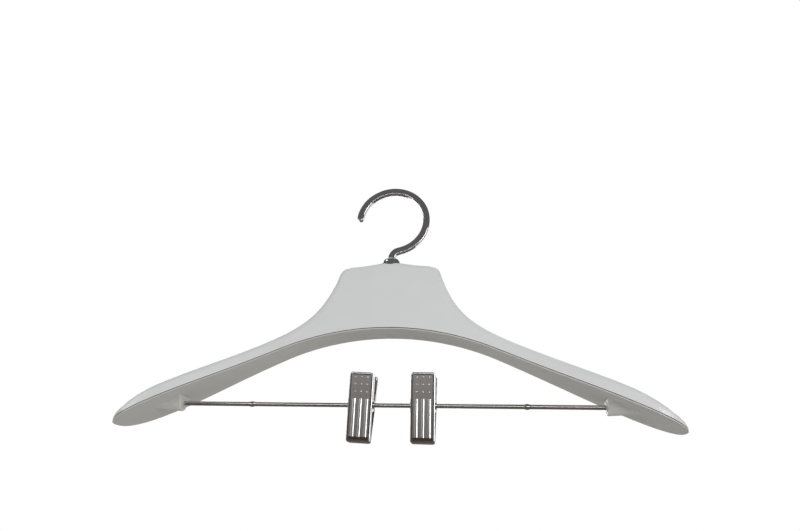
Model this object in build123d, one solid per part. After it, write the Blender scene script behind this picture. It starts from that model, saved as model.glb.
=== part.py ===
from build123d import *
import os
from math import ceil, cos, exp, log, pi, radians, sin, sqrt, tan

# Wide-shouldered suit and trouser hanger with a swivel hook, a trouser bar and two sprung clips.
# Millimetres. The origin is the centre of the hook's eye, X runs along the shoulders,
# the front faces -Y and +Z is up.

# Hook
hook_inner_radius = 26.8
hook_band = 5.8
hook_depth = 4.6
hook_edge_radius = 0.9
hook_tip_angle = 173.0
hook_lower_angle = 78.0
shank_radius = 2.6
shank_length = 21.4
shoulder_gap = 0.15

# Collar, bush and the parts that hold the hook from below
collar_radius = 7.3
collar_height = 4.1
collar_rim_height = 1.1
collar_top_radius = 4.0
running_clearance = 0.08
press_clearance = 0.02
bush_radius = 4.4
bush_flange_radius = 5.6
bush_flange_height = 0.9
bush_length = 13.0
washer_radius = 5.4
washer_thickness = 0.8
ring_thickness = 0.8
ring_radius = 4.3
ring_mouth_angle = 70.0
groove_depth = 0.6
groove_play = 0.05
axial_play = 0.15

# Body outline, seen from the front
half_width = 221.0
arm_angle = 23.6
arm_height = 12.5
low_crown_z = -103.4
low_radius = 222.0
roof_angle = 8.8
roof_round = 4.0
neck_corner_x = 42.3
neck_corner_radius = 8.0
flank_angle = 73.0
nose_length = 41.0
nose_tip_height = 4.2
nose_power = 1.7

# Body depth, front to back
neck_half_depth = 14.5
shoulder_half_depth = 25.3
shoulder_power = 2.6
swell_start_x = 50.0
swell_power = 1.6
neck_draft = 0.097
arm_draft = 0.06
edge_round = 5.2
crown_share = 0.1

# Shell, cover and seam
wall = 2.2
cover_sheet = 1.8
lip_height = 0.8
seam_gap = 0.6
tongue_height = 1.8
tongue_wall = 1.5
tongue_clearance = 0.15
tongue_bite = 0.5
rib_thickness = 1.6
rib_step = 34.0
rib_count = 5
seat_height = 0.9
seat_radius = 7.6
seat_foot_radius = 8.3
neck_boss_radius = 7.4

# Trouser bar and its bosses
bar_radius = 1.75
bar_chamfer = 0.45
bar_drop = 5.4
boss_inset = 54.0
boss_length = 31.0
boss_waist_share = 0.42
boss_radius = 6.2
boss_waist_radius = 5.5
boss_end_radius = 4.6
flare_half_width = 12.5
flare_waist_half_width = 10.0
flare_end_half_width = 8.0
flare_bend_share = 0.75
boss_edge_round = 0.7
socket_depth = 11.0
socket_rim_radius = 3.6
socket_rim_height = 0.6
stop_inset = 58.3
stop_length = 4.4
stop_height = 4.6
stop_depth = 2.7

# Clips
clip_names = ["left", "right"]
clip_x = [-18.9, 29.8]
clip_tilt = [2.6, 0.7]
plate_width = 19.0
tail_length = 25.4
jaw_length = 27.8
plate_lean = 10.5
pivot_depth = 8.55
plate_sheet = 1.15
side_sheet = 0.8
plate_corner_radius = 2.2
plate_edge_radius = 1.0
tail_flange = 6.0
jaw_flange = 2.8
flange_end_v = 6.6
flange_root_v = 3.4
rim_width = 1.9
panel_recess = 0.45
panel_corner_radius = 1.0
rib_pitch = 5.0
rib_ridge_radius = 1.7
rib_ridge_height = 0.55
rib_top_v = 5.1
dot_inset = 3.7
dot_pitch = 4.7
dot_row_pitch = 5.65
dot_row_count = 3
dot_radius = 1.0
dot_height = 0.35
step_height = 2.5
step_recess = 0.75
ear_radius = 4.2
ear_root = 5.2
ear_gap = 0.25
sleeve_radius = 2.45
sleeve_flange_radius = 3.3
sleeve_flange = 0.5
sleeve_gap = 0.3
pad_half_width = 6.8
pad_inset = 1.4
pad_height = 10.8
pad_face_gap = 0.3
pad_groove_depth = 0.5
pad_groove_width = 0.9
pad_groove_count = 4
pad_seat_gap = 0.02

# Torsion springs
wire_radius = 0.45
coil_radius = 3.3
coil_turns = 4
coil_pitch = 1.45
leg_length = 13.6
leg_lean = 24.0
gap_samples = 400

# One overrun for every cut
over = 5.0

# Formulas of the front outline
slope = tan(radians(arm_angle))
low_tangent_x = low_radius * sin(radians(arm_angle))
nose_start_x = half_width - nose_length
collar_top_z = -(hook_inner_radius + hook_band / 2) * sin(radians(hook_lower_angle)) / (
    1 - cos(radians(hook_lower_angle)))
collar_top_z -= shoulder_gap
collar_foot_z = collar_top_z - collar_height
neck_peak_z = collar_foot_z - seat_height
bush_low_z = collar_foot_z - bush_length


def low_z(x):
    """Height of the lower edge of the body at x."""
    x = abs(x)
    if x <= low_tangent_x:
        return low_crown_z - low_radius + sqrt(low_radius**2 - x**2)
    start = low_crown_z - low_radius * (1 - cos(radians(arm_angle)))
    return start - (x - low_tangent_x) * slope


def roof_z(x):
    """Height of the neck's shallow roof, rounded at its peak."""
    return neck_peak_z - tan(radians(roof_angle)) * (sqrt(x**2 + roof_round**2) - roof_round)


corner_centre_x = neck_corner_x - neck_corner_radius * sin(radians(flank_angle))
corner_start_x = corner_centre_x + neck_corner_radius * sin(radians(roof_angle))
corner_centre_z = roof_z(corner_start_x) - neck_corner_radius * cos(radians(roof_angle))
corner_end_z = corner_centre_z + neck_corner_radius * cos(radians(flank_angle))
flank_rise = corner_end_z - low_z(low_tangent_x) - arm_height + (neck_corner_x - low_tangent_x) * slope
flank_length = flank_rise / (tan(radians(flank_angle)) - slope)


def top_z(x):
    """Height of the upper edge of the front face at x."""
    x = abs(x)
    if x <= corner_start_x:
        return roof_z(x)
    if x <= neck_corner_x:
        return corner_centre_z + sqrt(neck_corner_radius**2 - (x - corner_centre_x)**2)
    arm_line = low_z(low_tangent_x) - (x - low_tangent_x) * slope
    height = arm_height
    if x > nose_start_x:
        height -= (arm_height - nose_tip_height) * ((x - nose_start_x) / nose_length)**nose_power
    return arm_line + height + flank_rise * exp(-(x - neck_corner_x) / flank_length)


def top_slope(x):
    """Steepness of the upper edge at x, without the nose."""
    x = min(abs(x), nose_start_x)
    if x <= corner_start_x:
        return tan(radians(roof_angle))
    if x <= neck_corner_x:
        reach = x - corner_centre_x
        return reach / sqrt(neck_corner_radius**2 - reach**2)
    return slope + flank_rise / flank_length * exp(-(x - neck_corner_x) / flank_length)


def half_depth(x):
    """Half of the body's depth at its lower edge."""
    x = abs(x)
    if x >= nose_start_x:
        reach = (x - nose_start_x) / nose_length
        return shoulder_half_depth * (1 - reach**shoulder_power)**(1 / shoulder_power)
    share = max(0, (x - swell_start_x) / (nose_start_x - swell_start_x))
    return neck_half_depth + (shoulder_half_depth - neck_half_depth) * (1 - cos(pi * share**swell_power)) / 2


def draft(x):
    """Lean of the front and back faces at x."""
    share = min(1, abs(x) / nose_start_x)
    return neck_draft + (arm_draft - neck_draft) * share


roof_shares = [0, 0.35, 0.7, 1]
corner_shares = [0, 0.25, 0.5, 0.75, 1]
flank_shares = [1, 0.8, 0.62, 0.45, 0.3, 0.18, 0.09, 0.035]
arm_shares = [0, 0.15, 0.35, 0.6, 0.8, 1]
nose_turn_shares = [0, 0.15, 0.29, 0.42]
tip_turn_shares = [0.42, 0.56, 0.7, 0.82, 0.91, 0.965]
hollow_turn_shares = [0.42, 0.56, 0.69, 0.76]


def nose_x(turn_share):
    """Place on the nose at a share of a quarter turn."""
    return nose_start_x + nose_length * sin(turn_share * pi / 2)


def zones(tip_shares):
    """Places of the cross-sections of the roof and of the right-hand corner, flank, arm, nose and tip."""
    turn = flank_angle - roof_angle
    roof = [share * corner_start_x for share in roof_shares]
    roof = [-x for x in reversed(roof[1:])] + roof
    corner = [corner_centre_x + neck_corner_radius * sin(radians(roof_angle + share * turn))
              for share in corner_shares]
    flank = [neck_corner_x - flank_length * log(share) for share in flank_shares]
    arm = [flank[-1] + share * (nose_start_x - flank[-1]) for share in arm_shares]
    nose = [nose_x(share) for share in nose_turn_shares]
    tip = [nose_x(share) for share in tip_shares]
    return [roof, corner, flank, arm, nose] + ([tip] if tip else [])


def arch(x, inset, rise):
    """Arched cross-section at x, drawn inside the outer one by the inset, from rise above the lower edge."""
    steep = sqrt(1 + top_slope(x)**2)
    top = top_z(x) - inset * steep
    depth = half_depth(x) - inset
    lean = draft(x)
    height = top - low_z(x)
    round_y = min(edge_round, depth / 2)
    round_z = min(edge_round * steep, height / 2)
    side_z = top - round_z
    side_y = depth - lean * (side_z - low_z(x))
    flat_y = side_y - round_y
    crown = crown_share * flat_y
    tilt = 2 * crown / flat_y
    corner_z = (top - tilt * (side_y + lean * side_z - flat_y)) / (1 - tilt * lean)
    corner_y = side_y - lean * (corner_z - side_z)
    foot = [Vector(x, side * (depth - lean * rise), low_z(x) + rise) for side in (-1, 1)]
    shoulder = [Vector(x, side * side_y, side_z) for side in (-1, 1)]
    corner = [Vector(x, side * corner_y, corner_z) for side in (-1, 1)]
    flat = [Vector(x, side * flat_y, top) for side in (-1, 1)]
    return Wire([
        Edge.make_line(foot[0], foot[1]),
        Edge.make_line(foot[1], shoulder[1]),
        Edge.make_bezier(shoulder[1], corner[1], flat[1]),
        Edge.make_three_point_arc(flat[1], Vector(x, 0, top + crown), flat[0]),
        Edge.make_bezier(flat[0], corner[0], shoulder[0]),
        Edge.make_line(shoulder[0], foot[0]),
    ])


def strip(x, inset, low, high):
    """Four-sided cross-section at x of a strip along the lower edge, from low to high above it."""
    depth = half_depth(x) - inset
    lean = draft(x)
    corners = [(-1, low), (1, low), (1, high), (-1, high)]
    points = [Vector(x, side * (depth - lean * rise), low_z(x) + rise) for side, rise in corners]
    return Wire.make_polygon(points)


def arched_zones(inset, rise, tip_shares):
    """One loft of arched sections for each zone."""
    return [Solid.make_loft([arch(x, inset, rise) for x in places]) for places in zones(tip_shares)]


def strip_zones(inset, low, high, tip_shares):
    """One loft of four-sided sections for each zone."""
    return [Solid.make_loft([strip(x, inset, low, high) for x in places]) for places in zones(tip_shares)]


def joined(right_zones):
    """The roof zone joined to the other zones on both sides."""
    whole = right_zones[0]
    for zone in right_zones[1:]:
        whole += zone
        whole += zone.mirror(Plane.YZ)
    return whole


def filled(lines):
    """Face inside a closed run of lines and curves."""
    return Face(Wire([line.edge() for line in lines]))


def low_slab(high):
    """Everything up to a height above the lower edge, through the whole depth."""
    reach = half_width + over
    crown = (0, low_z(0) + high)
    right = [(x, low_z(x) + high) for x in (low_tangent_x, reach)]
    left = [(-x, z) for x, z in reversed(right)]
    foot_z = low_z(reach) - reach
    outline = [
        Line(right[1], right[0]),
        ThreePointArc(right[0], crown, left[1]),
        Line(left[1], left[0]),
        Line(left[0], (-reach, foot_z)),
        Line((-reach, foot_z), (reach, foot_z)),
        Line((reach, foot_z), right[1]),
    ]
    back_plane = Plane.XZ.offset(-shoulder_half_depth - over)
    return extrude(back_plane * filled(outline), 2 * (shoulder_half_depth + over), dir=(0, -1, 0))


def x_cylinder(radius, start, end, y=0.0, z=0.0):
    """Cylinder along X from start to end."""
    return Pos((start + end) / 2, y, z) * Rot(0, 90, 0) * Cylinder(radius, end - start)


def z_cylinder(radius, low, high):
    """Cylinder on the swivel axis from low to high."""
    return Pos(0, 0, (low + high) / 2) * Cylinder(radius, high - low)


def turned(points, axis=Axis.Z):
    """Full turn of a closed profile given as radius and height."""
    profile = make_face(Polyline(*points, close=True))
    return revolve(Plane.XZ * profile, axis)


# Places of the trouser bar
boss_face_x = half_width - boss_inset
bar_z = low_z(boss_face_x) - bar_drop
stop_x = boss_face_x - stop_inset

# Upper shell: the arched body less its hollow, with cross ribs and a boss for the bush
shell_rise = lip_height + seam_gap
tongue_rise = lip_height + tongue_height
ribs = [Pos((index + 1) * rib_step, 0, bar_z / 2) * Box(rib_thickness, half_width, half_width)
        for index in range(rib_count)]
ribs = [rib - low_slab(tongue_rise) for rib in ribs]
ribs.append(ribs[0].mirror(Plane.YZ))
shell_zones = []
outer_zones = arched_zones(0, shell_rise, tip_turn_shares)
hollow_zones = arched_zones(wall, -over, hollow_turn_shares)
for outer, hollow in zip(outer_zones, hollow_zones):
    for rib in ribs:
        hollow = hollow - rib
    shell_zones.append(outer - hollow)
shell = joined(shell_zones)
neck_boss = z_cylinder(neck_boss_radius, bush_low_z, neck_peak_z)
seat_low_z = neck_peak_z - edge_round
seat = turned([(0, seat_low_z), (seat_foot_radius, seat_low_z), (seat_foot_radius, neck_peak_z),
               (seat_radius, collar_foot_z), (0, collar_foot_z)])
shell += neck_boss
shell += seat
flange_low_z = collar_foot_z - bush_flange_height
shell -= z_cylinder(bush_radius + press_clearance, bush_low_z - over, collar_foot_z + over)
shell -= z_cylinder(bush_flange_radius + press_clearance, flange_low_z, collar_foot_z + over)

# Bottom cover: a lip that follows the outline and a troughed plug that sits inside the shell
tongue_inset = wall + tongue_clearance
lips = strip_zones(0, 0, lip_height, tip_turn_shares)
plugs = strip_zones(tongue_inset, lip_height - tongue_bite, tongue_rise, [])
troughs = strip_zones(tongue_inset + tongue_wall, cover_sheet, tongue_rise + over, [])
trough_end = nose_x(nose_turn_shares[-1]) - tongue_wall
troughs[-1] -= Pos(trough_end + half_width, 0, 0) * Box(2 * half_width, 2 * half_width, 2 * half_width)
cover_zones = lips
for index, (plug, trough) in enumerate(zip(plugs, troughs)):
    cover_zones[index] += plug - trough
cover = joined(cover_zones)

# Bosses that hold the bar's ends: flared sections lofted along the bar, with a ring round each socket
foot_top = bar_drop + over


def boss_section(share, radius, flare):
    """Section of the boss at a share of its length, round below the bar and flaring above it."""
    lines = [
        Line((flare, foot_top), (-flare, foot_top)),
        Line((-flare, foot_top), (-flare, bar_drop)),
        Bezier((-flare, bar_drop), (-radius, flare_bend_share * bar_drop), (-radius, 0)),
        ThreePointArc((-radius, 0), (0, -radius), (radius, 0)),
        Bezier((radius, 0), (radius, flare_bend_share * bar_drop), (flare, bar_drop)),
        Line((flare, bar_drop), (flare, foot_top)),
    ]
    place = (boss_face_x + share * boss_length, 0, bar_z)
    return Plane(place, x_dir=(0, 1, 0), z_dir=(1, 0, 0)) * filled(lines)


boss = loft([
    boss_section(0, boss_radius, flare_half_width),
    boss_section(boss_waist_share, boss_waist_radius, flare_waist_half_width),
    boss_section(1, boss_end_radius, flare_end_half_width),
])
boss = fillet(boss.faces().sort_by(Axis.X)[0].edges(), boss_edge_round)
boss = boss & low_slab(tongue_rise)
rim_x = boss_face_x - socket_rim_height
boss += x_cylinder(socket_rim_radius, rim_x, boss_face_x + socket_rim_height, z=bar_z)
socket = x_cylinder(bar_radius + press_clearance, boss_face_x - over, boss_face_x + socket_depth, z=bar_z)
for form in (boss, boss.mirror(Plane.YZ)):
    cover += form
for hole in (socket, socket.mirror(Plane.YZ)):
    cover -= hole

# Swivel hook: a flat band bent round the eye, an S-bend and a turned shank with a groove
hook_radius = hook_inner_radius + hook_band / 2
lower = radians(hook_lower_angle)
bend_radius = hook_radius * cos(lower) / (1 - cos(lower))
bend_centre_z = -(hook_radius + bend_radius) * sin(lower)


def on_eye(angle):
    """Point of the eye's centre line at an angle from +X."""
    return Vector(hook_radius * cos(radians(angle)), 0, hook_radius * sin(radians(angle)))


bend_mid_angle = radians(180 - hook_lower_angle / 2)
bend_mid = Vector(bend_radius + bend_radius * cos(bend_mid_angle), 0,
                  bend_centre_z + bend_radius * sin(bend_mid_angle))
stem_top = Vector(0, 0, bend_centre_z)
eye_mid_angle = (hook_tip_angle - hook_lower_angle) / 2
path = Wire([
    Edge.make_three_point_arc(on_eye(hook_tip_angle), on_eye(eye_mid_angle), on_eye(-hook_lower_angle)),
    Edge.make_three_point_arc(on_eye(-hook_lower_angle), bend_mid, stem_top),
])
tip = on_eye(hook_tip_angle)
tip_plane = Plane(origin=tip, x_dir=tip.normalized(), z_dir=path % 0)
band = RectangleRounded(hook_band, hook_depth, hook_edge_radius)
hook = sweep(tip_plane * band, path)
half_band = make_face(Polyline((0, -hook_depth / 2), (hook_band / 2, -hook_depth / 2),
                               (hook_band / 2, hook_depth / 2), (0, hook_depth / 2), close=True))
tip_round = revolve(tip_plane * half_band, Axis(tip, (0, -1, 0)), 180)
tip_round = fillet(tip_round.edges().filter_by(GeomType.CIRCLE), hook_edge_radius)
hook = hook + tip_round
shank_low_z = bend_centre_z - shank_length
shank = z_cylinder(shank_radius, shank_low_z, bend_centre_z)
shank = chamfer(shank.edges().group_by(Axis.Z)[0], groove_depth)
ring_high_z = bush_low_z - axial_play - washer_thickness - groove_play
groove_low_z = ring_high_z - ring_thickness - groove_play
groove = z_cylinder(shank_radius + over, groove_low_z, ring_high_z + groove_play)
groove -= z_cylinder(shank_radius - groove_depth, ring_high_z - over, ring_high_z + over)
hook = hook + shank - groove

# Chrome collar on the neck, bush pressed into the neck, washer and retaining ring under it
bore_radius = shank_radius + running_clearance
dome_mid = (collar_radius + collar_top_radius) / 2 + collar_rim_height / 2
dome = [
    Line((bore_radius, collar_foot_z), (collar_radius, collar_foot_z)),
    Line((collar_radius, collar_foot_z), (collar_radius, collar_foot_z + collar_rim_height)),
    ThreePointArc((collar_radius, collar_foot_z + collar_rim_height),
                  (dome_mid, collar_top_z - collar_rim_height), (collar_top_radius, collar_top_z)),
    Line((collar_top_radius, collar_top_z), (bore_radius, collar_top_z)),
    Line((bore_radius, collar_top_z), (bore_radius, collar_foot_z)),
]
collar = revolve(Plane.XZ * filled(dome), Axis.Z)
bush = z_cylinder(bush_radius, bush_low_z, collar_foot_z)
bush += z_cylinder(bush_flange_radius, flange_low_z, collar_foot_z)
bush -= z_cylinder(bore_radius, bush_low_z - over, collar_foot_z + over)
washer_low_z = bush_low_z - axial_play - washer_thickness
washer = z_cylinder(washer_radius, washer_low_z, washer_low_z + washer_thickness)
washer -= z_cylinder(bore_radius, washer_low_z - over, washer_low_z + over)
ring = z_cylinder(ring_radius, ring_high_z - ring_thickness, ring_high_z)
ring -= z_cylinder(shank_radius - groove_depth + press_clearance, ring_high_z - over, ring_high_z + over)
mouth_x = 2 * ring_radius
mouth_y = mouth_x * tan(radians(ring_mouth_angle / 2))
mouth_form = make_face(Polyline((0, 0), (mouth_x, mouth_y), (mouth_x, -mouth_y), close=True))
ring -= Pos(0, 0, ring_high_z - over) * extrude(mouth_form, 2 * over)

# Trouser bar with two pinched stops
bar_reach = boss_face_x + socket_depth
bar = x_cylinder(bar_radius, -bar_reach, bar_reach, z=bar_z)
bar = chamfer(bar.edges().filter_by(GeomType.CIRCLE), bar_chamfer)
for side in (-1, 1):
    places = [side * stop_x + step * stop_length / 2 for step in (-1, 0, 1)]
    planes = [Plane((x, 0, bar_z), x_dir=(0, 1, 0), z_dir=(1, 0, 0)) for x in places]
    forms = [Circle(bar_radius), Ellipse(stop_depth / 2, stop_height / 2), Circle(bar_radius)]
    pinch = loft([plane * form for plane, form in zip(planes, forms)])
    gap = x_cylinder(2 * bar_radius, places[0], places[2], z=bar_z)
    bar = bar - gap + pinch


def plate_form(ears_inside):
    """Pressed clip plate with its outer face at y = 0 and its pivot at y = pivot_depth, v = 0."""
    length = tail_length + jaw_length
    mid_v = (tail_length - jaw_length) / 2
    face_plane = Plane.XZ
    blank = Pos(0, mid_v) * RectangleRounded(plate_width, length, plate_corner_radius)
    plate = extrude(face_plane * blank, tail_flange, dir=(0, 1, 0))
    plate = fillet(plate.faces().sort_by(Axis.Y)[0].edges(), plate_edge_radius)
    pocket = RectangleRounded(plate_width - 2 * side_sheet, length - 2 * side_sheet,
                              plate_corner_radius - side_sheet)
    pocket_plane = Plane.XZ.offset(-plate_sheet)
    plate -= extrude(pocket_plane * Pos(0, mid_v) * pocket, tail_flange, dir=(0, 1, 0))
    top_v = tail_length + over
    low_v = -jaw_length - over
    side_line = Polyline((-over, top_v), (tail_flange, top_v), (tail_flange, flange_end_v),
                         (jaw_flange, flange_root_v), (jaw_flange, low_v), (-over, low_v), close=True)
    plate = plate & extrude(Plane.YZ * make_face(side_line), plate_width, both=True)

    # Sunk panel with three ridges, nine dots and a deeper step at its foot
    panel_width = plate_width - 2 * rim_width
    panel_low = rim_width - jaw_length
    panel_top = tail_length - rim_width
    panel_box = RectangleRounded(panel_width, panel_top - panel_low, panel_corner_radius)
    panel_face = Plane.XZ * Pos(0, (panel_top + panel_low) / 2) * panel_box
    plate -= extrude(panel_face, panel_recess, dir=(0, 1, 0))
    step_top = panel_low + step_height
    step_face = Plane.XZ * Pos(0, (step_top + panel_low) / 2) * Rectangle(panel_width, step_height)
    plate -= extrude(step_face, step_recess, dir=(0, 1, 0))
    skin = extrude(panel_face, plate_sheet, dir=(0, 1, 0))
    ridge_y = panel_recess + rib_ridge_radius - rib_ridge_height
    dot_y = panel_recess + dot_radius - dot_height
    for column in (-1, 0, 1):
        ridge = Pos(column * rib_pitch, ridge_y, (rib_top_v + step_top) / 2)
        ridge *= Cylinder(rib_ridge_radius, rib_top_v - step_top)
        plate += ridge & skin
        for row in range(dot_row_count):
            dot_v = tail_length - dot_inset - row * dot_row_pitch
            dot = Pos(column * dot_pitch, dot_y, dot_v) * Sphere(dot_radius)
            plate += dot & skin

    # Ears that reach the pivot, on the side walls or just inside them
    ear_outer = plate_width / 2
    if ears_inside:
        ear_outer -= side_sheet + ear_gap
    root = Polyline((plate_sheet / 2, ear_root), (plate_sheet / 2, -ear_root), (pivot_depth, -ear_radius),
                    (pivot_depth, ear_radius), close=True)
    ear = make_face(root) + Pos(pivot_depth, 0) * Circle(ear_radius)
    for side in (-1, 1):
        ear_plane = Plane.YZ.offset(side * (ear_outer - side_sheet / 2))
        plate += extrude(ear_plane * ear, side_sheet / 2, both=True)
    return plate


def placed(form, tilt, lean):
    """Brings a plate's pivot to the origin, leans it about X and tilts it about Y."""
    return Rot(0, tilt, 0) * Rot(lean, 0, 0) * Pos(0, -pivot_depth, 0) * form


def pad_form():
    """Jaw pad with a grooved face parallel to the clip's middle plane, in the plate's own frame."""
    gap = pad_face_gap / cos(radians(plate_lean))

    def face_y(v):
        return pivot_depth + v * tan(radians(plate_lean)) - gap

    low_v = pad_inset - jaw_length
    top_v = low_v + pad_height
    seat_y = plate_sheet + pad_seat_gap
    side_line = Polyline((seat_y, top_v), (face_y(top_v), top_v), (face_y(low_v), low_v), (seat_y, low_v),
                         close=True)
    pad = extrude(Plane.YZ * make_face(side_line), pad_half_width, both=True)
    step = pad_height / (pad_groove_count + 1)
    for index in range(pad_groove_count):
        v = low_v + (index + 1) * step
        pad -= Pos(0, face_y(v), v) * Box(2 * pad_half_width, 2 * pad_groove_depth, pad_groove_width)
    return pad


def biarc(start, start_way, end, end_way):
    """Two tangent arcs from start to end, leaving and arriving along the given directions."""
    gap = end - start
    ways = start_way + end_way
    spread = 2 * (1 - start_way.dot(end_way))
    along = gap.dot(ways)
    reach = (-along + sqrt(along**2 + spread * gap.dot(gap))) / spread
    middle = (start + start_way * reach + end - end_way * reach) * 0.5
    return [Edge.make_tangent_arc(start, start_way, middle), Edge.make_tangent_arc(end, end_way * -1, middle)]


def spring_path():
    """Legs and turns of the torsion spring, wound on the X axis."""
    lean = radians(leg_lean)
    sweep_angle = pi - 2 * lean + 2 * pi * coil_turns
    spans = ceil(sweep_angle / (pi / 2))
    length = coil_pitch * sweep_angle / (2 * pi)

    def point(angle):
        share = (angle - pi - lean) / sweep_angle
        return Vector(-length / 2 + share * length, coil_radius * cos(angle), coil_radius * sin(angle))

    def way(angle):
        return Vector(length / sweep_angle, -coil_radius * sin(angle), coil_radius * cos(angle)).normalized()

    angles = [pi + lean + sweep_angle * index / spans for index in range(spans + 1)]
    edges = []
    for first, second in zip(angles, angles[1:]):
        edges += biarc(point(first), way(first), point(second), way(second))
    leg_start = point(angles[0]) - way(angles[0]) * leg_length
    leg_end = point(angles[-1]) + way(angles[-1]) * leg_length
    edges.insert(0, Edge.make_line(leg_start, point(angles[0])))
    edges.append(Edge.make_line(point(angles[-1]), leg_end))
    samples = [point(angles[0] + sweep_angle * index / gap_samples) for index in range(gap_samples + 1)]
    return Wire(edges), leg_start, way(angles[0]), samples


def least_gap(samples):
    """Least clear gap between neighbouring turns, measured on points of the wire's centre line."""
    apart = ceil(len(samples) / (coil_turns + 1) / 2)
    nearest = min((a - b).length for index, a in enumerate(samples) for b in samples[index + apart:])
    return nearest - 2 * wire_radius


spring_wire, leg_start, leg_way, coil_samples = spring_path()
spring_plane = Plane(origin=leg_start, z_dir=leg_way)
spring = sweep(spring_plane * Circle(wire_radius), spring_wire)
print("least gap between turns", round(least_gap(coil_samples), 3))

sleeve_reach = plate_width / 2 + sleeve_gap + sleeve_flange
sleeve = x_cylinder(sleeve_radius, -sleeve_reach, sleeve_reach)
for side in (-1, 1):
    flange = x_cylinder(sleeve_flange_radius, sleeve_reach - sleeve_flange, sleeve_reach)
    sleeve += flange if side > 0 else flange.mirror(Plane.YZ)
sleeve -= x_cylinder(bar_radius + running_clearance, -sleeve_reach - over, sleeve_reach + over)

nodes = {
    "upper_shell": shell,
    "bottom_cover": cover,
    "hook": hook,
    "hook_collar": collar,
    "swivel_bush": bush,
    "hook_washer": washer,
    "retaining_ring": ring,
    "trouser_bar": bar,
}
ear_hole = x_cylinder(sleeve_radius + running_clearance, -plate_width, plate_width)
for name, x, tilt in zip(clip_names, clip_x, clip_tilt):
    at = Pos(x, 0, bar_z)
    turn = Rot(0, 0, 180)
    front = placed(plate_form(False), tilt, plate_lean) - ear_hole
    back = Rot(0, tilt, 0) * turn * placed(plate_form(True), 0, plate_lean) - ear_hole
    nodes[name + "_clip_sleeve"] = at * sleeve
    nodes[name + "_clip_front_plate"] = at * front
    nodes[name + "_clip_back_plate"] = at * back
    nodes[name + "_clip_front_pad"] = at * placed(pad_form(), tilt, plate_lean)
    nodes[name + "_clip_back_pad"] = at * Rot(0, tilt, 0) * turn * placed(pad_form(), 0, plate_lean)
    nodes[name + "_clip_spring"] = at * spring

os.makedirs("parts", exist_ok=True)
for name, shape in nodes.items():
    export_step(shape, "parts/" + name + ".step")
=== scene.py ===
"""Visual model of a suit and trouser hanger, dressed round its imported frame.

The scene is in metres, in the frame of the solids: the origin is the centre of
the hook's eye, X runs along the shoulders, the front faces -Y and +Z is up.
"""

import logging
import math
from dataclasses import dataclass, field
from enum import Enum
from typing import Any

import bmesh
import bpy
from mathutils import Matrix, Vector

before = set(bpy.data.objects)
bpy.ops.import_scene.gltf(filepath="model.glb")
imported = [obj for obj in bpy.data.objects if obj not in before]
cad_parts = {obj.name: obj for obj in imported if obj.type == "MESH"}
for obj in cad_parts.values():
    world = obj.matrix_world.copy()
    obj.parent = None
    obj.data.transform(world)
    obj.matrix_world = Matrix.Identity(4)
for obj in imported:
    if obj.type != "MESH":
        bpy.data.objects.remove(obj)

LOG = logging.getLogger("hanger")
MM = 0.001
NOISE_MEAN = 0.5
WHITE = (1, 1, 1, 1)
Triple = tuple[float, float, float]


class Value:
    """A shader value that can be used in Python sums."""

    def __init__(self, shader: "Nodes", socket: bpy.types.NodeSocket) -> None:
        """Wraps one output socket.

        Args:
            shader: The wrapper of the node tree.
            socket: The output that carries the value.
        """
        self.shader = shader
        self.socket = socket

    def _math(self, operation: str, first: "Value | float", second: "Value | float") -> "Value":
        """Adds a Math node.

        Args:
            operation: Blender's name for the sum.
            first: The first input.
            second: The second input.

        Returns:
            The result.
        """
        made = self.shader.node("ShaderNodeMath", {"operation": operation},
                                {0: first, 1: second})
        return Value(self.shader, made.outputs[0])

    def __add__(self, other: "Value | float") -> "Value":
        """Returns the sum."""
        return self._math("ADD", self, other)

    def __radd__(self, other: float) -> "Value":
        """Returns the sum with the number first."""
        return self._math("ADD", other, self)

    def __sub__(self, other: "Value | float") -> "Value":
        """Returns the difference."""
        return self._math("SUBTRACT", self, other)

    def __rsub__(self, other: float) -> "Value":
        """Returns the difference with the number first."""
        return self._math("SUBTRACT", other, self)

    def __mul__(self, other: "Value | float") -> "Value":
        """Returns the product."""
        return self._math("MULTIPLY", self, other)

    def __rmul__(self, other: float) -> "Value":
        """Returns the product with the number first."""
        return self._math("MULTIPLY", other, self)

    def clipped(self) -> "Value":
        """Returns the value held between 0 and 1."""
        return self._math("MINIMUM", self._math("MAXIMUM", self, 0), 1)

    def above(self, floor: float, gain: float) -> "Value":
        """Keeps only what stands above a floor.

        Args:
            floor: The level that becomes 0.
            gain: How much the rest is raised.

        Returns:
            The raised rest, 0 under the floor.
        """
        return (self - floor).clipped() * gain


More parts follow.
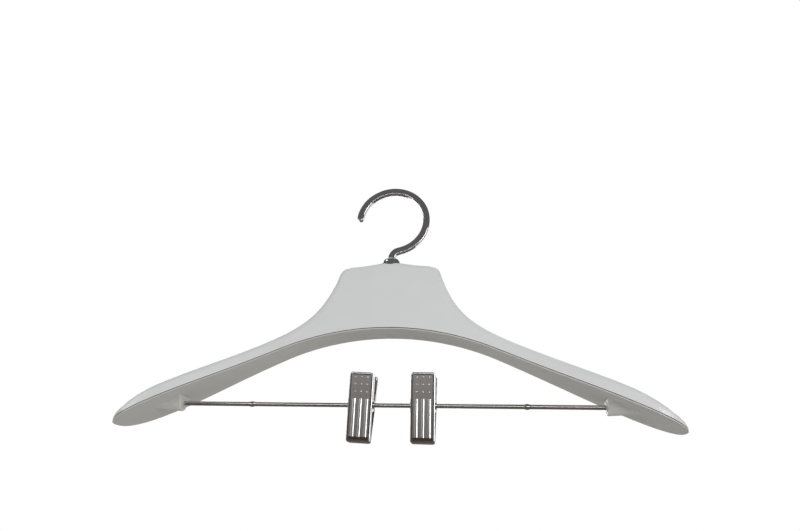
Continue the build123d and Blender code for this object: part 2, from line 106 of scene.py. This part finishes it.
class Nodes:
    """A node tree, with one method that adds any kind of node."""

    def __init__(self, owner: bpy.types.ID) -> None:
        """Empties the tree of a material or a world.

        Args:
            owner: The material or the world.
        """
        owner.use_nodes = True
        self.tree = owner.node_tree
        self.tree.nodes.clear()

    def node(self, kind: str, settings: dict[str, Any], inputs: dict[Any, Any]) -> bpy.types.Node:
        """Adds a node, sets it and joins its inputs.

        Args:
            kind: The node's type.
            settings: Its settings.
            inputs: Values or links of its sockets, by name or number.

        Returns:
            The node.
        """
        made = self.tree.nodes.new(kind)
        for key, setting in settings.items():
            setattr(made, key, setting)
        for key, value in inputs.items():
            source = value.socket if isinstance(value, Value) else value
            if isinstance(source, bpy.types.NodeSocket):
                self.tree.links.new(source, made.inputs[key])
            else:
                made.inputs[key].default_value = source
        return made

    def tint(self, share: Value, first: Triple, second: Triple) -> bpy.types.NodeSocket:
        """Mixes two colours.

        Args:
            share: How much of the second colour.
            first: Colour where the share is 0.
            second: Colour where the share is 1.

        Returns:
            The mixed colour.
        """
        factor, low, high, result = 0, 6, 7, 2  # The colour sockets of a Mix node.
        made = self.node("ShaderNodeMix", {"data_type": "RGBA"},
                         {factor: share, low: (*first, 1), high: (*second, 1)})
        return made.outputs[result]

    def blend(self, share: Value, first: bpy.types.Node, second: bpy.types.Node) -> bpy.types.Node:
        """Mixes two shaders.

        Args:
            share: How much of the second shader.
            first: Shader where the share is 0.
            second: Shader where the share is 1.

        Returns:
            The Mix Shader node.
        """
        return self.node("ShaderNodeMixShader", {},
                         {0: share, 1: first.outputs[0], 2: second.outputs[0]})

    def ray(self, rays: bpy.types.Node, kind: str) -> Value:
        """Tells whether a ray is of one kind.

        Args:
            rays: The Light Path node.
            kind: The kind of ray, as that node names it.

        Returns:
            1 for a ray of that kind, 0 for others.
        """
        return Value(self, rays.outputs[f"Is {kind} Ray"])


@dataclass(frozen=True)
class Pattern:
    """A layer of noise: cells per metre, octaves of finer noise and scale along each axis."""

    scale: float
    detail: float
    stretch: Triple = (1, 1, 1)


class Shader(Nodes):
    """The node tree of a material on the object's own coordinates."""

    def __init__(self, name: str) -> None:
        """Makes a material with an empty tree.

        Args:
            name: The material's name.
        """
        self.material = bpy.data.materials.new(name)
        super().__init__(self.material)
        self.place = self.node("ShaderNodeTexCoord", {}, {}).outputs["Object"]

    def noise(self, pattern: Pattern) -> Value:
        """Adds noise on the object's own coordinates.

        Args:
            pattern: The layer's scale, detail and stretch.

        Returns:
            The noise, NOISE_MEAN on average.
        """
        mapped = self.node("ShaderNodeMapping", {},
                           {"Vector": self.place, "Scale": pattern.stretch})
        made = self.node("ShaderNodeTexNoise", {"noise_dimensions": "3D"}, {
            "Vector": mapped.outputs[0],
            "Scale": pattern.scale,
            "Detail": pattern.detail,
        })
        return Value(self, made.outputs["Fac"])

    def bump(self, height: Value, strength: float, distance: float,
             base: bpy.types.NodeSocket | None = None) -> bpy.types.NodeSocket:
        """Adds a bump, on top of another one where that is given.

        Args:
            height: Height of the surface.
            strength: Share of the bump that shows.
            distance: Height in metres of a height of 1.
            base: Normal of a bump underneath.

        Returns:
            The normal.
        """
        inputs = {"Strength": strength, "Distance": distance, "Height": height}
        if base is not None:
            inputs["Normal"] = base
        return self.node("ShaderNodeBump", {}, inputs).outputs[0]

    def finish(self, inputs: dict[str, Any]) -> bpy.types.Material:
        """Adds the surface shader and the output.

        Args:
            inputs: Values or links of the surface shader's sockets.

        Returns:
            The finished material.
        """
        surface = self.node("ShaderNodeBsdfPrincipled", {}, inputs)
        self.node("ShaderNodeOutputMaterial", {}, {"Surface": surface.outputs[0]})
        return self.material


@dataclass(frozen=True)
class Moulding:
    """Moulded plastic with a fine spark-eroded grain, slight flow marks and dust.

    A share is a part of the darker colour, a strength the part of a bump that
    shows, a height is in metres, and the rough values add to the roughness.
    """

    name: str
    light: Triple
    dark: Triple
    roughness: float
    grain_strength: float
    coat: float = 0.0
    coat_roughness: float = 0.12
    flow: Pattern = Pattern(9, 2, (0.35, 1, 1))
    flow_share: float = 0.6
    cloud: Pattern = Pattern(60, 4)
    cloud_share: float = 0.4
    cloud_rough: float = 0.12
    mark_floor: float = 0.3
    mark_gain: float = 1.6
    dust: Pattern = Pattern(700, 5)
    dust_floor: float = 0.62
    dust_gain: float = 3.0
    dust_share: float = 0.5
    ripple: Pattern = Pattern(140, 2)
    ripple_strength: float = 0.12
    ripple_height: float = 0.0006
    grain: Pattern = Pattern(2600, 2)
    grain_height: float = 0.00005
    grain_rough: float = 0.06

    def material(self) -> bpy.types.Material:
        """Returns the finished material."""
        shader = Shader(self.name)
        flow, cloud = shader.noise(self.flow), shader.noise(self.cloud)
        ripple, grain = shader.noise(self.ripple), shader.noise(self.grain)
        dust = shader.noise(self.dust).above(self.dust_floor, self.dust_gain)
        marks = flow * self.flow_share + cloud * self.cloud_share
        share = marks.above(self.mark_floor, self.mark_gain) + dust * self.dust_share
        normal = shader.bump(ripple, self.ripple_strength, self.ripple_height)
        normal = shader.bump(grain, self.grain_strength, self.grain_height, normal)
        rough = self.roughness + (cloud - NOISE_MEAN) * self.cloud_rough
        return shader.finish({
            "Base Color": shader.tint(share.clipped(), self.light, self.dark),
            "Roughness": rough + (grain - NOISE_MEAN) * self.grain_rough,
            "Coat Weight": self.coat,
            "Coat Roughness": self.coat_roughness,
            "Normal": normal,
        })


@dataclass(frozen=True)
class Plating:
    """Bright metal with fine wipe marks, faint waves and duller spots."""

    name: str
    light: Triple
    dark: Triple
    roughness: float
    wipe_strength: float
    wipe: Pattern = Pattern(900, 3)
    wipe_height: float = 0.00003
    wipe_rough: float = 0.02
    wave: Pattern = Pattern(90, 1)
    wave_strength: float = 0.03
    wave_height: float = 0.0004
    haze: Pattern = Pattern(120, 4)
    haze_share: float = 0.8
    haze_floor: float = 0.45
    haze_rough: float = 0.07
    spot: Pattern = Pattern(1500, 3)
    spot_floor: float = 0.66
    spot_gain: float = 4.0
    spot_rough: float = 0.05

    def material(self) -> bpy.types.Material:
        """Returns the finished material."""
        shader = Shader(self.name)
        haze, wipe = shader.noise(self.haze), shader.noise(self.wipe)
        spot = shader.noise(self.spot).above(self.spot_floor, self.spot_gain)
        share = (haze * self.haze_share + spot).clipped()
        normal = shader.bump(shader.noise(self.wave), self.wave_strength, self.wave_height)
        normal = shader.bump(wipe, self.wipe_strength, self.wipe_height, normal)
        rough = self.roughness + haze.above(self.haze_floor, self.haze_rough)
        return shader.finish({
            "Base Color": shader.tint(share, self.light, self.dark),
            "Metallic": 1.0,
            "Roughness": rough + wipe * self.wipe_rough + spot * self.spot_rough,
            "Normal": normal,
        })


@dataclass(frozen=True)
class Rubber:
    """Black rubber with a dry bloom and a matt grain."""

    name: str
    light: Triple
    dark: Triple
    roughness: float
    bloom: Pattern = Pattern(350, 4)
    bloom_rough: float = 0.3
    grain: Pattern = Pattern(4000, 2)
    grain_strength: float = 0.4
    grain_height: float = 0.00008

    def material(self) -> bpy.types.Material:
        """Returns the finished material."""
        shader = Shader(self.name)
        bloom = shader.noise(self.bloom)
        grain = shader.noise(self.grain)
        return shader.finish({
            "Base Color": shader.tint(bloom, self.dark, self.light),
            "Roughness": self.roughness + (bloom - NOISE_MEAN) * self.bloom_rough,
            "Normal": shader.bump(grain, self.grain_strength, self.grain_height),
        })


class Finish(Enum):
    """The finishes on the hanger: name, light and dark colour, roughness, strength of the grain."""

    SHELL = Moulding("white_shell", (0.66, 0.665, 0.665), (0.60, 0.605, 0.605), 0.34, 0.22,
                     coat=0.15)
    # Darker than the shell: partly the cover's own greyer, warmer tone, partly painted shade for
    # the underside.
    COVER = Moulding("white_cover", (0.555, 0.545, 0.52), (0.485, 0.475, 0.45), 0.5, 0.35)
    # Painted shade: a near-black colour for the seam and the collar's seat, standing in for their
    # shadow.
    PAINTED_SHADE = Moulding("painted_seam_shade", (0.10, 0.10, 0.095), (0.05, 0.05, 0.048), 0.7, 0.35)
    BUSH = Moulding("dark_bush", (0.06, 0.06, 0.065), (0.03, 0.03, 0.03), 0.55, 0.3)
    HOOK = Plating("hook_chrome", (0.72, 0.71, 0.73), (0.60, 0.59, 0.61), 0.09, 0.04)
    BAR = Plating("bar_chrome", (0.62, 0.60, 0.58), (0.50, 0.48, 0.46), 0.12, 0.05,
                  wipe=Pattern(900, 3, (0.05, 1, 1)))
    CLIP = Plating("clip_chrome", (0.74, 0.73, 0.73), (0.62, 0.61, 0.61), 0.1, 0.05)
    PANEL = Plating("clip_panel", (0.50, 0.48, 0.465), (0.42, 0.40, 0.385), 0.35, 0.8)
    RIDGE = Plating("clip_ridge", (0.92, 0.91, 0.90), (0.84, 0.83, 0.82), 0.27, 0.1)
    STEP = Plating("clip_step", (0.24, 0.165, 0.13), (0.15, 0.10, 0.08), 0.3, 0.5)
    STEEL = Plating("steel", (0.55, 0.55, 0.56), (0.42, 0.42, 0.43), 0.28, 0.5)
    SPRING = Plating("spring_wire", (0.50, 0.50, 0.52), (0.36, 0.36, 0.37), 0.22, 0.5)
    PAD = Rubber("pad_rubber", (0.09, 0.09, 0.09), (0.035, 0.035, 0.035), 0.72)


class Finishes:
    """Makes each finish's material once."""

    def __init__(self) -> None:
        """Starts with no material made."""
        self.made: dict[Finish, bpy.types.Material] = {}

    def __getitem__(self, finish: Finish) -> bpy.types.Material:
        """Returns the material of a finish."""
        if finish not in self.made:
            self.made[finish] = finish.value.material()
        return self.made[finish]


def dress(node: str, finishes: Finishes, *slots: Finish) -> bpy.types.Object:
    """Gives a solid of the frame its materials.

    Args:
        node: The solid's name.
        finishes: The materials.
        slots: The finishes it gets, the first for every face.

    Returns:
        The solid's object.
    """
    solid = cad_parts[node]
    solid.data.materials.clear()
    for finish in slots:
        solid.data.materials.append(finishes[finish])
    for polygon in solid.data.polygons:
        polygon.material_index = 0
    LOG.info("%s dressed", node)
    return solid


@dataclass
class Body:
    """The moulded shell and the cover under it, with sizes in millimetres.

    The ring that the seat of the hook's collar fills, and the faces in the seam
    that look almost straight down, get a near-black colour: painted shade that
    stands in for the shadow under the collar and in the seam.
    """

    shell: str = "upper_shell"
    cover: str = "bottom_cover"
    seat_radius: float = 8.4
    seat_foot_z: float = -44.5
    seam_slope: float = -0.85

    def face_finish(self, centre: Vector, normal: Vector) -> Finish:
        """Chooses the finish of one face of the shell.

        Args:
            centre: The face's centre, in metres.
            normal: The face's normal.

        Returns:
            The finish.
        """
        x, y, z = centre / MM
        on_seat = math.hypot(x, y) < self.seat_radius and z > self.seat_foot_z
        # Painted shade on the collar's seat and on the downward faces in the seam.
        return Finish.PAINTED_SHADE if on_seat or normal.z < self.seam_slope else Finish.SHELL

    def build(self, finishes: Finishes) -> None:
        """Dresses the shell, face by face, and the cover."""
        slots = (Finish.SHELL, Finish.PAINTED_SHADE)
        shell = dress(self.shell, finishes, *slots)
        for polygon in shell.data.polygons:
            finish = self.face_finish(polygon.center, polygon.normal)
            polygon.material_index = slots.index(finish)
        dress(self.cover, finishes, Finish.COVER)


@dataclass
class Swivel:
    """The hook and what holds it in the neck."""

    bright: tuple[str, ...] = ("hook", "hook_collar")
    hidden: tuple[str, ...] = ("hook_washer", "retaining_ring")
    bush: str = "swivel_bush"

    def build(self, finishes: Finishes) -> None:
        """Dresses the hook, its collar and the parts inside the neck."""
        for node in self.bright:
            dress(node, finishes, Finish.HOOK)
        for node in self.hidden:
            dress(node, finishes, Finish.STEEL)
        dress(self.bush, finishes, Finish.BUSH)


@dataclass
class TrouserBar:
    """The chrome bar between the arms."""

    node: str = "trouser_bar"

    def build(self, finishes: Finishes) -> None:
        """Dresses the bar."""
        dress(self.node, finishes, Finish.BAR)


@dataclass
class SpringClip:
    """One clip on the bar, with its plates, pads, sleeve and spring.

    Sizes are in millimetres and angles in degrees. Recesses are measured from a
    plate's outer face, lows and highs along the plate from the bar.
    """

    side: str
    place_x: float
    tilt: float
    lean: float = 10.5
    bar_z: float = -161.5
    pivot_depth: float = 8.55
    panel_recess: float = 0.45
    step_recess: float = 0.75
    panel_half_width: float = 7.8
    panel_low: float = -26.1
    panel_high: float = 23.7
    step_top: float = -23.4
    slack: float = 0.06

    def plate_frame(self, front: bool) -> Matrix:
        """Gives the matrix from the hanger's frame to a plate's own frame.

        Args:
            front: True for the front plate.

        Returns:
            The matrix. In the plate's own frame its outer face is at y = 0.
        """
        place = Matrix.Translation(Vector((self.place_x, 0, self.bar_z)) * MM)
        place @= Matrix.Rotation(math.radians(self.tilt), 4, "Y")
        if not front:
            place @= Matrix.Rotation(math.pi, 4, "Z")
        place @= Matrix.Rotation(math.radians(self.lean), 4, "X")
        place @= Matrix.Translation(Vector((0, -self.pivot_depth, 0)) * MM)
        return place.inverted()

    def face_finish(self, centre: Vector) -> Finish:
        """Chooses the finish of one face of a plate.

        Args:
            centre: The face's centre in the plate's own frame, in metres.

        Returns:
            The finish.
        """
        across, depth, along = centre / MM
        if abs(across) >= self.panel_half_width or not self.panel_low < along < self.panel_high:
            return Finish.CLIP
        if abs(depth - self.panel_recess) < self.slack:
            return Finish.PANEL
        if along < self.step_top and abs(depth - self.step_recess) < self.slack:
            return Finish.STEP
        if along > self.step_top and depth < self.panel_recess:
            return Finish.RIDGE
        return Finish.CLIP

    def dress_plate(self, node: str, front: bool, finishes: Finishes) -> None:
        """Gives a plate bright edges, ridges and dots, a satin panel and a darker step.

        Args:
            node: The plate's name.
            front: True for the front plate.
            finishes: The materials.
        """
        slots = (Finish.CLIP, Finish.PANEL, Finish.STEP, Finish.RIDGE)
        plate = dress(node, finishes, *slots)
        to_plate = self.plate_frame(front)
        for polygon in plate.data.polygons:
            finish = self.face_finish(to_plate @ polygon.center)
            polygon.material_index = slots.index(finish)

    def build(self, finishes: Finishes) -> None:
        """Dresses every piece of the clip."""
        stem = self.side + "_clip_"
        self.dress_plate(stem + "front_plate", True, finishes)
        self.dress_plate(stem + "back_plate", False, finishes)
        dress(stem + "sleeve", finishes, Finish.CLIP)
        dress(stem + "front_pad", finishes, Finish.PAD)
        dress(stem + "back_pad", finishes, Finish.PAD)
        dress(stem + "spring", finishes, Finish.SPRING)


@dataclass
class Lamp:
    """A soft rectangular lamp that points at the hanger, in metres and watts."""

    name: str
    place: Triple
    size: tuple[float, float]
    power: float
    aim: Triple = (0, 0, -0.1)

    def build(self) -> None:
        """Adds the lamp to the scene."""
        light = bpy.data.lights.new(self.name, "AREA")
        light.shape = "RECTANGLE"
        light.size, light.size_y = self.size
        light.energy = self.power
        made = bpy.data.objects.new(self.name, light)
        bpy.context.scene.collection.objects.link(made)
        way = Vector(self.aim) - Vector(self.place)
        made.location = self.place
        made.rotation_euler = way.to_track_quat("-Z", "Y").to_euler()


@dataclass
class Studio:
    """The camera, the lamps, the floor and the surroundings.

    The camera sees a pale floor that fades into white. Metal mirrors white only
    behind the hanger, and a darker room in front of it and a darker floor.
    Places and sizes are in metres, the lens and its sensor in millimetres, the
    roll in degrees.
    """

    camera_place: Triple = (0.07234, -0.46666, -0.24262)
    camera_aim: Triple = (0.0074145, 0, -0.0426309)
    camera_roll: float = 1.989
    camera_range: tuple[float, float] = (0.01, 50)
    focal_length: float = 26.817
    sensor: float = 36.0
    floor_z: float = -1.3
    floor_size: float = 12.0
    floor_cloud: Pattern = Pattern(3, 3)
    floor_pale: tuple[Triple, Triple] = ((0.72, 0.72, 0.71), (0.68, 0.68, 0.67))
    floor_shaded: tuple[Triple, Triple] = ((0.20, 0.19, 0.18), (0.16, 0.15, 0.14))
    floor_fade_start: float = 1.5
    floor_fade_rate: float = 0.9
    room_front: Triple = (0.13, 0.125, 0.125)
    room_back: Triple = (1.0, 1.0, 1.0)
    room_edge: float = 0.9
    room_slope: float = 2.0
    light_low: Triple = (0.42, 0.40, 0.37)
    light_high: Triple = (0.95, 0.96, 0.97)
    light_mean: float = 0.5
    light_from_above: float = 0.2
    light_from_front: float = 0.3
    light_strength: float = 0.6
    lamps: list[Lamp] = field(default_factory=lambda: [
        Lamp("front_lamp", (-0.15, -1.7, 0.12), (1.4, 0.25), 4.5),
        Lamp("side_lamp", (2.2, -1.7, -0.15), (0.9, 1.6), 30),
        Lamp("fill_lamp", (-2.2, -1.2, 0.5), (0.8, 1.4), 11),
        Lamp("back_lamp", (-0.9, 2.3, 0.5), (2.0, 1.2), 26),
        Lamp("top_lamp", (0.0, 0.6, 1.5), (1.6, 0.8), 4),
    ])

    def camera(self) -> None:
        """Adds the camera, in front of the hanger and below it."""
        lens = bpy.data.cameras.new("photo_camera")
        lens.sensor_width = self.sensor
        lens.lens = self.focal_length
        lens.clip_start, lens.clip_end = self.camera_range
        made = bpy.data.objects.new("photo_camera", lens)
        bpy.context.scene.collection.objects.link(made)
        way = Vector(self.camera_aim) - Vector(self.camera_place)
        turn = way.to_track_quat("-Z", "Y").to_matrix().to_4x4()
        roll = Matrix.Rotation(math.radians(self.camera_roll), 4, "Z")
        made.matrix_world = Matrix.Translation(self.camera_place) @ turn @ roll
        bpy.context.scene.camera = made

    def floor(self) -> None:
        """Adds the pale floor, well under the hanger."""
        shape = bmesh.new()
        bmesh.ops.create_grid(shape, x_segments=1, y_segments=1, size=self.floor_size / 2,
                              matrix=Matrix.Translation((0, 0, self.floor_z)))
        mesh = bpy.data.meshes.new("floor")
        shape.to_mesh(mesh)
        shape.free()
        made = bpy.data.objects.new("floor", mesh)
        bpy.context.scene.collection.objects.link(made)
        mesh.materials.append(self.paper())

    def paper(self) -> bpy.types.Material:
        """Returns the floor's paper, white in the distance and shaded where metal mirrors it."""
        shader = Shader("floor_paper")
        rays = shader.node("ShaderNodeLightPath", {}, {})
        cloud = shader.noise(self.floor_cloud)
        pale, shaded = (
            shader.node("ShaderNodeBsdfDiffuse", {}, {"Color": shader.tint(cloud, *colours)})
            for colours in (self.floor_pale, self.floor_shaded)
        )
        white = shader.node("ShaderNodeEmission", {}, {"Color": WHITE})
        near = shader.blend(shader.ray(rays, "Glossy"), pale, shaded)
        length = shader.node("ShaderNodeVectorMath", {"operation": "LENGTH"}, {0: shader.place})
        distance = Value(shader, length.outputs["Value"])
        far = ((distance - self.floor_fade_start) * self.floor_fade_rate).clipped()
        mixed = shader.blend(far * shader.ray(rays, "Camera"), near, white)
        shader.node("ShaderNodeOutputMaterial", {}, {"Surface": mixed.outputs[0]})
        return shader.material

    def world(self) -> None:
        """Makes the surroundings: white behind, a darker room in front and a soft grey light."""
        world = bpy.data.worlds.new("surroundings")
        bpy.context.scene.world = world
        nodes = Nodes(world)
        rays = nodes.node("ShaderNodeLightPath", {}, {})
        way = nodes.node("ShaderNodeTexCoord", {}, {}).outputs["Generated"]
        parts = nodes.node("ShaderNodeSeparateXYZ", {}, {0: way})
        behind = Value(nodes, parts.outputs["Y"])
        height = Value(nodes, parts.outputs["Z"])
        room_share = (behind * self.room_slope - self.room_edge).clipped()
        light_share = (self.light_mean + height * self.light_from_above
                       - behind * self.light_from_front).clipped()
        room = nodes.tint(room_share, self.room_front, self.room_back)
        light = nodes.tint(light_share, self.light_low, self.light_high)
        mirrored = nodes.node("ShaderNodeBackground", {}, {"Color": room})
        soft = nodes.node("ShaderNodeBackground", {},
                          {"Color": light, "Strength": self.light_strength})
        white = nodes.node("ShaderNodeBackground", {}, {"Color": WHITE})
        lit = nodes.blend(nodes.ray(rays, "Glossy"), soft, mirrored)
        seen = nodes.ray(rays, "Camera") + nodes.ray(rays, "Transmission")
        mixed = nodes.blend(seen, lit, white)
        nodes.node("ShaderNodeOutputWorld", {}, {"Surface": mixed.outputs[0]})

    def build(self) -> None:
        """Makes the camera, the floor, the surroundings and the lamps."""
        self.camera()
        self.floor()
        self.world()
        for lamp in self.lamps:
            lamp.build()
        bpy.context.scene.view_settings.view_transform = "Standard"


def main() -> None:
    """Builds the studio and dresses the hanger."""
    logging.basicConfig(level=logging.INFO)
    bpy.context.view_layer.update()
    Studio().build()
    finishes = Finishes()
    sub_assemblies = (
        Body(),
        Swivel(),
        TrouserBar(),
        SpringClip("left", place_x=-18.9, tilt=2.6),
        SpringClip("right", place_x=29.8, tilt=0.7),
    )
    for sub_assembly in sub_assemblies:
        sub_assembly.build(finishes)
        LOG.info("%s built", type(sub_assembly).__name__)


if __name__ == "__main__":
    main()
